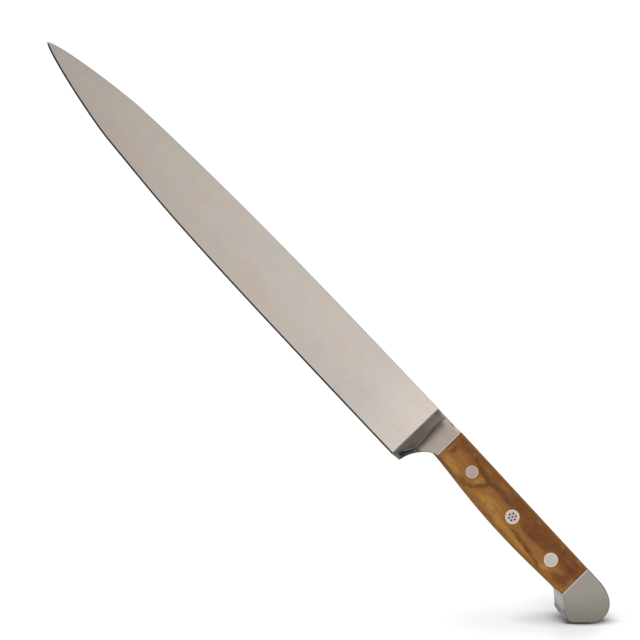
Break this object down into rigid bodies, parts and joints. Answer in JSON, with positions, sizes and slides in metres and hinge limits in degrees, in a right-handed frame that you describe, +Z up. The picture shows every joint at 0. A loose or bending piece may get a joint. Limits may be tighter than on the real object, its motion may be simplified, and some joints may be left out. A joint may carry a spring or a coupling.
{
  "type": "ham knife",
  "caption": "Long narrow ham knife with a pointed blade, forged bolster with finger recess, riveted olive-wood scales and a hooked butt cap.",
  "frame": {"origin": "centre of the bounding box in X and Y, on the table under the knife, which lies on its right side", "axes": "+X from the blade's tip to the butt, +Y from the edge to the spine, +Z up through the knife's thickness, out of its left side"},
  "size_m": [0.3824, 0.0314, 0.018],
  "materials": {
    "satin_steel": "satin ground",
    "olive_wood": "oiled",
    "rivet_steel": "satin"
  },
  "bodies": {
    "root": {"forging": "satin_steel", "left_scale": "olive_wood", "right_scale": "olive_wood", "front_rivet_pin": "rivet_steel", "front_rivet_socket": "rivet_steel", "centre_rivet_pin": "rivet_steel", "centre_rivet_socket": "rivet_steel", "rear_rivet_pin": "rivet_steel", "rear_rivet_socket": "rivet_steel"}
  },
  "joints": []
}
